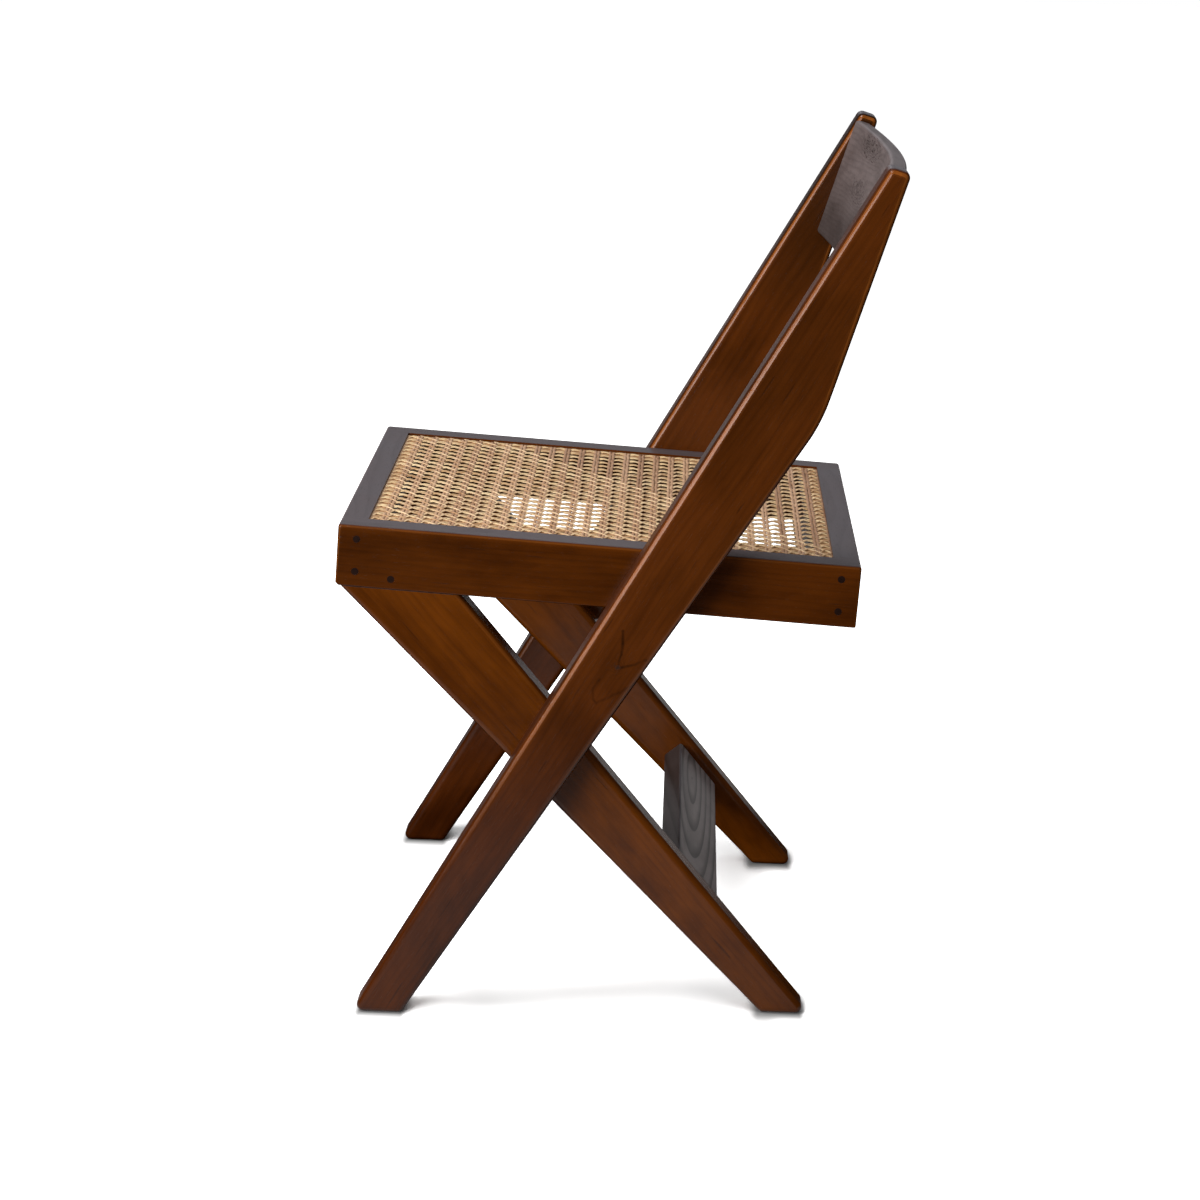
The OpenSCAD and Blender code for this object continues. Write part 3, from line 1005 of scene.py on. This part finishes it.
    def build(self) -> list[bpy.types.Object]:
        """Weaves the seat.

        Returns:
            The pieces of the seat, riding on the chair.
        """
        fine, coarse = self.streaks_across, self.streaks_along
        pieces = [
            self._strands(Run.CROSSWISE, CaneFinish(
                (coarse, fine, fine), pale=linear(202, 164, 132), warm=linear(160, 120, 92)), 3),
            # The lengthwise strands are paler than the crosswise ones, a painted highlight on their humps
            self._strands(Run.LENGTHWISE, CaneFinish(
                (fine, coarse, fine), pale=linear(240, 214, 168), warm=linear(186, 144, 98)), 5),
            self._strands(Run.RISING, CaneFinish((fine, coarse, fine), 45.0), 7),
            self._strands(Run.FALLING, CaneFinish((fine, coarse, fine), -45.0), 11),
            self._border(CaneFinish(
                (fine, fine * 0.3, fine), 20.0, linear(214, 172, 124), painted_shade_heights=(0.40, 0.41))),
        ]
        for piece in pieces:
            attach(piece, BODY)
            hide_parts("cane_panel")
        return pieces


@dataclass
class Frame:
    """The wooden pieces of the chair, which keep the model's own solids.

    Attributes:
        finishes: A finish for each node of the model.
    """

    finishes: dict[str, WoodFinish | PegFinish] = field(default_factory=dict)

    def dress(self) -> list[str]:
        """Gives every node its material.

        Returns:
            The names of the nodes that were dressed.
        """
        for name, finish in self.finishes.items():
            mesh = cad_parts[name].data
            mesh.materials.clear()
            mesh.materials.append(finish.material(f"{name}_wood"))
        return list(self.finishes)


def chair_finishes() -> dict[str, WoodFinish | PegFinish]:
    """Chooses the finish of every wooden node.

    Returns:
        A finish for each node of the model.
    """
    finishes: dict[str, WoodFinish | PegFinish] = {}
    long_shade, long_tone = linear(46, 16, 0), linear(74, 32, 3)
    short_shade, short_tone = linear(66, 28, 0), linear(99, 48, 1)
    # Grey colours that paint the backrest board's sheen over its brown stain
    sheen_grey_shade, sheen_grey_tone = linear(80, 68, 66), linear(114, 101, 99)
    swirl = (
        Streak((
            (0.235, 0.0104, 0.3724), (0.235, 0.0103, 0.3565), (0.235, 0.0075, 0.3415),
            (0.235, 0.0058, 0.338))),
        Streak(((0.235, 0.0058, 0.338), (0.235, 0.0206, 0.342), (0.235, 0.0309, 0.3468)), 0.0024, 0.85),
        Streak((
            (0.235, -0.0091, 0.3271), (0.235, -0.0148, 0.3176), (0.235, -0.014, 0.3092),
            (0.235, -0.0112, 0.3056), (0.235, -0.0025, 0.3101), (0.235, 0.0135, 0.3187),
            (0.234, 0.0211, 0.3244)), 0.0026, 0.5),
    )
    leg_knot = {
        "left": (Knot((0.235, 0.0058, 0.338), 0.005, 0.9),),
        "right": (Knot((-0.235, 0.06, 0.46), 0.009),),
    }
    for number, side in enumerate(("left", "right")):
        # The right long leg gets a painted shade towards the top of its post
        finishes[f"{side}_long_leg"] = WoodFinish(
            Grain.LONG_LEG, long_shade, long_tone, linear(142, 78, 26),
            shift=0.7 * number, knots=leg_knot[side], streaks=swirl if side == "left" else (),
            painted_shade=((-0.2, 0.1, 0.56), (-0.2, 0.18, 0.7)) if side == "right" else None, painted_shade_depth=0.75)
        finishes[f"{side}_short_leg"] = WoodFinish(
            Grain.SHORT_LEG, short_shade, short_tone, shift=1.3 + number)
        # The side rails get painted light towards their tops and a painted shade towards their front ends
        finishes[f"{side}_side_rail"] = WoodFinish(
            Grain.ALONG_SEAT, shift=2.1 + number, painted_top_light=(-0.4375, -0.426),
            painted_shade=((0.2, -0.06, 0.44), (0.2, -0.2, 0.44)), painted_shade_depth=0.2)
        for kind in ("front_pegs", "rear_pegs", "tenon_peg"):
            finishes[f"{side}_{kind}"] = PegFinish()
        for kind in ("rail_dowels", "crossing_dowels", "board_dowels", "stretcher_dowels"):
            finishes[f"{side}_{kind}"] = PegFinish(linear(150, 104, 60), linear(196, 150, 98))
    finishes["front_rail"] = WoodFinish(Grain.ACROSS_SEAT, shift=0.4)
    finishes["rear_rail"] = WoodFinish(Grain.ACROSS_SEAT, shift=1.9)
    # The backrest board: a painted sheen in its grey colours and top, and a painted shade towards its lower
    # edge
    finishes["backrest_board"] = WoodFinish(
        Grain.ACROSS_BACK, sheen_grey_shade, sheen_grey_tone, linear(84, 66, 60), ring=0.005,
        ring_depth=0.15, shift=2.7, roughness=0.36, painted_top_sheen=linear(124, 116, 117), knots=(
            Knot((-0.0956, 0.225, 0.7575), 0.011, 0.3, 5.0, 0.8),
            Knot((-0.092, 0.2145, 0.7165), 0.011, 0.2, 3.5, 0.6)),
        painted_shade=((0.0, 0.22, 0.735), (0.0, 0.2, 0.665)), painted_shade_depth=0.7)
    # The stretcher: pale grey colours that paint its sheen, and a painted shade along its top front edge
    finishes["leg_stretcher"] = WoodFinish(
        Grain.ACROSS_LEGS, linear(120, 110, 110), linear(160, 150, 150), linear(140, 124, 118),
        heart=(-0.04, 0.1468), lean=0.11, ring=0.008, ring_depth=0.6, waver=0.1, roughness=0.35,
        painted_shade=((0.0, 0.0596, 0.1223), (0.0, 0.0583, 0.1238)), painted_shade_depth=0.85)
    return finishes


@dataclass(frozen=True)
class Softbox:
    """A soft light.

    Attributes:
        place: Where it hangs.
        size: Its width and height.
        power: Its power.
    """

    place: Place
    size: Span
    power: float


@dataclass
class Studio:
    """The floor, the lights and the camera.

    Attributes:
        camera_place: Where the camera stands.
        yaw: The camera's turn from straight along -X, in degrees.
        pitch: How far it looks down, in degrees.
        roll: Its roll, in degrees.
        lens_px: Its focal length in pixels of the photograph.
        frame_px: The width of that photograph.
        floor_side: Half the floor's width.
        floor_bounce: The floor's colour for the light that it throws back.
        feet: The places of the left soles, front and rear. The right ones mirror them.
        sole: Half the width and length of a sole.
        shown_near: The colour that the floor shows beside a foot.
        shown_far: The colour away from the feet.
        shown_strip: The colour of the shadow between the left feet.
        shown_start: The colour where that shadow starts, at the front foot.
        shown_contact: The colour of the painted shadow right under a sole.
        shadow_reach: How far a foot's own shadow reaches.
        start_reach: The distances from the front foot between which the start ends.
        strip_reach: The distances from the shadow's middle between which it fades.
        outside: The places near the rear feet between which all of this fades.
        contact_reach: How far the painted dark rim round a sole reaches, sideways and ahead.
        contact_fall: How quickly that rim fades.
        near_gloss: The mirrored colour of the floor round the chair.
        near_reach: The distances between which that floor ends.
        near_side: The places along x between which it sets in.
        sweep: The mirrored colour of the floor behind the chair.
        sweep_start: The distances between which that floor sets in.
        sweep_spread: The slopes to the side between which it ends.
        far_sweep: Its mirrored colour far away.
        far_start: The distances between which that colour sets in.
        fill: The strength of the plain light from all round.
        dark_side: The mirrored strength of the surroundings.
        backdrop: The mirrored colour of the wall behind the chair.
        backdrop_ahead: The parts of a ray along -X between which that wall sets in.
        backdrop_high: The parts of it upwards between which all of the wall shows.
        low_backdrop: How much of the wall shows below them, from 0 to 1.
        left_wall: The mirrored strength of the wall at the left.
        left_across: The parts of a ray along -Y between which that wall sets in.
        left_ahead: The parts of it along -X that it also needs.
        side_light: The soft light at the camera's left.
        top_light: The soft light overhead.
        aim: The point that both lights face.
    """

    camera_place: Place = (2.52956, 0.04655, 1.05661)
    yaw: float = 1.45
    pitch: float = 15.99
    roll: float = 1.73
    lens_px: float = 2749.07
    frame_px: float = 1200.0
    floor_side: float = 15.0
    floor_bounce: float = 0.35
    feet: tuple[Span, ...] = ((0.2185, -0.201), (0.187, 0.163))
    shown_near: float = 2.0
    shown_far: float = 3.2
    shown_strip: float = 1.6
    shown_start: float = 2.8
    start_reach: Span = (0.03, 0.1)
    strip_reach: Span = (0.03, 0.09)
    outside: Span = (0.15, 0.17)
    shown_contact: float = 0.35
    sole: Span = (0.0135, 0.0185)
    contact_reach: Span = (0.046, 0.019)
    contact_fall: float = 2.5
    shadow_reach: float = 0.22
    near_gloss: float = 0.75
    near_reach: Span = (0.5, 1.1)
    near_side: Span = (0.1, 0.25)
    sweep: float = 0.75
    sweep_start: Span = (0.5, 1.2)
    sweep_spread: Span = (0.5, 0.8)
    far_sweep: float = 3.3
    far_start: Span = (4.0, 9.0)
    fill: float = 0.32
    backdrop: Colour = (0.63, 0.63, 0.68)
    low_backdrop: float = 0.2
    backdrop_high: Span = (0.06, 0.16)
    backdrop_ahead: Span = (0.88, 0.97)
    left_wall: float = 0.2
    left_across: Span = (0.35, 0.6)
    left_ahead: Span = (0.5, 0.75)
    dark_side: float = 0.02
    side_light: Softbox = Softbox((1.78, -1.61, 0.97), (1.75, 1.0), 54.0)
    top_light: Softbox = Softbox((0.68, -1.01, 2.6), (0.9, 0.9), 40.0)
    aim: Place = (0.0, 0.0, 0.4)

    def build(self) -> None:
        """Makes the studio."""
        self._camera()
        self._world()
        self._floor()
        self._lights()
        bpy.context.scene.view_settings.view_transform = "Standard"

    def _camera(self) -> None:
        """Places the camera."""
        yaw, pitch, roll = (math.radians(a) for a in (self.yaw, self.pitch, self.roll))
        flat = math.cos(pitch)
        ahead = Vector((-flat * math.cos(yaw), -flat * math.sin(yaw), -math.sin(pitch)))
        level = ahead.cross(Vector((0.0, 0.0, 1.0))).normalized()
        upright = level.cross(ahead)
        right = level * math.cos(roll) + upright * math.sin(roll)
        up = upright * math.cos(roll) - level * math.sin(roll)
        data = bpy.data.cameras.new("camera")
        data.sensor_width = 36.0
        data.lens = self.lens_px / self.frame_px * data.sensor_width
        camera = new_object("camera", data)
        camera.matrix_world = Matrix((
            (right.x, up.x, -ahead.x, self.camera_place[0]),
            (right.y, up.y, -ahead.y, self.camera_place[1]),
            (right.z, up.z, -ahead.z, self.camera_place[2]),
            (0.0, 0.0, 0.0, 1.0),
        ))
        bpy.context.scene.camera = camera

    @staticmethod
    def _rays(g: Graph) -> tuple[Sock, Sock]:
        """Tells what a ray is for.

        Args:
            g: The material's or world's graph.

        Returns:
            1 for a ray straight from the camera, and 1 for a ray by gloss or through glass.
        """
        path = g.node("ShaderNodeLightPath").link.node.outputs
        straight, gloss, glass = (
            Sock(g, path[name]) for name in ("Is Camera Ray", "Is Glossy Ray", "Is Transmission Ray"))
        return straight, gloss.math("MAXIMUM", glass)

    def _world(self) -> None:
        """Makes the surroundings: a white backdrop behind the chair and a dim room behind the camera."""
        world = bpy.data.worlds.new("surroundings")
        world.use_nodes = True
        g = Graph(world.node_tree)
        straight, mirrored = self._rays(g)
        ahead, across, high = g.split(g.node("ShaderNodeTexCoord", output="Generated"))
        left = (0.0 - across).ramp(*self.left_across) * (0.0 - ahead).ramp(*self.left_ahead)
        seen = g.blend(left, self.dark_side, self.left_wall)
        rising = self.low_backdrop + high.ramp(*self.backdrop_high) * (1.0 - self.low_backdrop)
        seen = g.blend((0.0 - ahead).ramp(*self.backdrop_ahead) * rising, seen, self.backdrop)
        around = g.blend(mirrored, self.fill, seen)
        colour = g.blend(straight, around, (1.0, 1.0, 1.0))
        light = g.node("ShaderNodeBackground", inputs={"Color": colour, "Strength": 1.0})
        g.node("ShaderNodeOutputWorld", inputs={"Surface": light})
        bpy.context.scene.world = world

    def _floor(self) -> None:
        """Makes the floor, whose colour is painted shade and light: lower near the feet so that their
        shadows show, higher elsewhere so that the chair's other shadows are painted out in white.
        """
        mesh = bpy.data.meshes.new("floor")
        side = self.floor_side
        corners = [(-side, -side, 0.0), (side, -side, 0.0), (side, side, 0.0), (-side, side, 0.0)]
        mesh.from_pydata(corners, [], [(0, 1, 2, 3)])
        floor = new_object("floor", mesh)
        material, g, place = new_material("floor")
        straight, mirrored = self._rays(g)
        x, y, _ = g.split(place)
        # Painted shade and light: the floor's colour is lower near the feet and along the shadow between
        # the left feet, and higher away from them
        apart: Sock | float = 1.0
        for foot_x, foot_y in self.feet:
            spot = g.join(x.math("ABSOLUTE") - foot_x, y - foot_y, 0.0)
            apart = g.vector("LENGTH", spot).math("MINIMUM", apart)
        shown = g.blend(apart.ramp(0.0, self.shadow_reach), self.shown_near, self.shown_far)
        near_feet = [(*foot, 0.0) for foot in self.feet]
        strip = 1.0 - g.to_line(place, *near_feet).ramp(*self.strip_reach)
        start = g.vector("DISTANCE", place, near_feet[0]).ramp(*self.start_reach)
        shown = g.blend(strip, shown, g.blend(start, self.shown_start, self.shown_strip))
        # Past the rear feet the high colour paints out the shadows in white
        shown = g.blend(y.ramp(*self.outside), shown, self.shown_far)
        # A painted contact shadow darkens the floor right round each sole
        shown = g.blend(self._painted_contact_shadow(g, x, y), shown, self.shown_contact)
        close = (1.0 - g.vector("LENGTH", place).ramp(*self.near_reach)) * x.ramp(*self.near_side)
        behind = 0.0 - x
        slope = y.math("ABSOLUTE") / x.math("ABSOLUTE")
        sweep = behind.ramp(*self.sweep_start) * (1.0 - slope.ramp(*self.sweep_spread))
        gloss = g.blend(close, 0.0, self.near_gloss)
        gloss = g.blend(sweep, gloss, g.blend(behind.ramp(*self.far_start), self.sweep, self.far_sweep))
        plain = g.blend(mirrored, self.floor_bounce, gloss)
        colour = g.blend(straight, plain, shown)
        surface = g.node("ShaderNodeBsdfDiffuse", inputs={"Color": colour})
        g.node("ShaderNodeOutputMaterial", inputs={"Surface": surface})
        mesh.materials.append(material)

    def _painted_contact_shadow(self, g: Graph, x: Sock, y: Sock) -> Sock:
        """Finds the narrow rim of painted shadow on the floor round the soles.

        Args:
            g: The floor's graph.
            x: The place from side to side.
            y: The place from front to back.

        Returns:
            1 under a sole, falling to 0 at the rim's outer edge.
        """
        rim: Sock | float = 0.0
        for foot_x, foot_y in self.feet:
            beside = ((x.math("ABSOLUTE") - foot_x).math("ABSOLUTE") - self.sole[0]).math("MAXIMUM", 0.0)
            ahead = ((y - foot_y).math("ABSOLUTE") - self.sole[1]).math("MAXIMUM", 0.0)
            wide, long = self.contact_reach
            gap = g.vector("LENGTH", g.join(beside / wide, ahead / long, 0.0))
            rim = (1.0 - gap.ramp(0.0, 1.0)).math("POWER", self.contact_fall).math("MAXIMUM", rim)
        return rim

    def _lights(self) -> None:
        """Hangs one soft light to the left of the camera and one overhead."""
        for name, box in (("side_softbox", self.side_light), ("top_softbox", self.top_light)):
            light = bpy.data.lights.new(name, "AREA")
            light.shape = "RECTANGLE"
            light.size, light.size_y = box.size
            light.energy = box.power
            lamp = new_object(name, light)
            lamp.location = box.place
            lamp.rotation_mode = "QUATERNION"
            lamp.rotation_quaternion = (Vector(self.aim) - Vector(box.place)).to_track_quat("-Z", "Y")


def main() -> None:
    """Builds the chair's looks and the studio, and reports each piece."""
    logging.basicConfig(level=logging.INFO, format="%(message)s")
    for name in Frame(chair_finishes()).dress():
        log.info("dressed %s", name)
    for piece in CaneSeat().build():
        log.info("built %s: %d faces", piece.name, len(piece.data.polygons))
    Studio().build()


if __name__ == "__main__":
    main()
